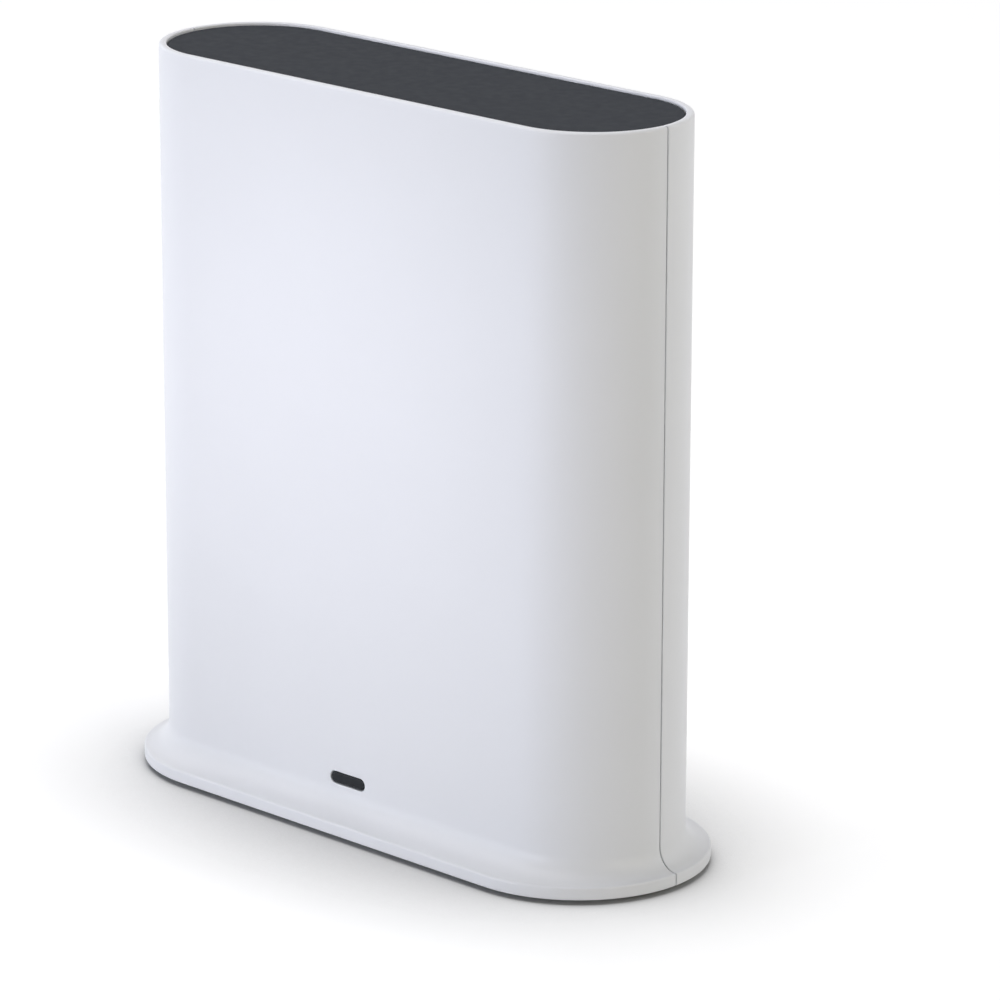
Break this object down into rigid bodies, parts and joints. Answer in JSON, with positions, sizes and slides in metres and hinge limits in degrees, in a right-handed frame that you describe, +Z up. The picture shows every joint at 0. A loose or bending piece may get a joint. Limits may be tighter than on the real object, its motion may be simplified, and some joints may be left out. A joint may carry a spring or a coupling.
{
  "type": "security camera base station",
  "caption": "Upright hub for wireless security cameras: a white two-shell housing with round ends on a flared foot, a dark flush top cap, a status window and a rear port bay.",
  "frame": {"origin": "on the table under the middle of the foot", "axes": "+Z up, -Y towards the front with the status window, +X to the right seen from the front"},
  "size_m": [0.15, 0.0572, 0.1628],
  "materials": {
    "shell": "satin moulded white plastic",
    "cap": "fine-grained dark slate plastic",
    "button": "fine-grained dark slate plastic",
    "window": "smoked gloss plastic",
    "rubber": "soft grey rubber",
    "steel": "nickel-plated steel",
    "gold": "gold-plated contacts",
    "clear": "clear acrylic",
    "light": "light-emitting diode",
    "board": "green solder mask over glass laminate",
    "black": "black moulded plastic",
    "chip": "black moulding compound",
    "thermal": "soft thermal pad",
    "sink": "plain aluminium",
    "nylon": "white nylon",
    "ferrite": "grey ferrite",
    "lead": "black coaxial lead"
  },
  "bodies": {
    "housing": {"front_shell": "shell", "rear_shell": "shell", "top_cap": "cap", "base_plate": "shell", "foot_pads": "rubber", "base_screws": "steel", "status_window": "window", "light_pipe": "clear", "status_light": "light", "main_board": "board", "board_screws": "steel", "ethernet_jack": "black", "ethernet_shield": "steel", "ethernet_contacts": "gold", "usb_shell": "steel", "usb_tongue": "black", "usb_contacts": "gold", "power_jack": "black", "power_pin": "steel", "sync_switch": "steel", "reset_switch": "steel", "processor": "chip", "thermal_pad": "thermal", "heat_sink": "sink", "sink_pins": "nylon", "memory_chips": "chip", "flash_chip": "chip", "crystal": "steel", "network_transformer": "chip", "power_inductors": "ferrite", "capacitors": "sink", "radio_shields": "steel", "antenna_boards": "board", "coax_leads": "lead", "coax_plugs": "gold"},
    "sync_button": {"sync_button": "button", "sync_stem": "black"},
    "reset_stem": {"reset_stem": "black"}
  },
  "joints": [
    {"name": "sync_press", "type": "slide", "parent": "housing", "child": "sync_button", "axis": [0, -1, 0], "range_m": [0, 0.0004], "stiffness_N_per_m": 3000},
    {"name": "reset_press", "type": "slide", "parent": "housing", "child": "reset_stem", "axis": [0, -1, 0], "range_m": [0, 0.0004], "stiffness_N_per_m": 3000}
  ]
}
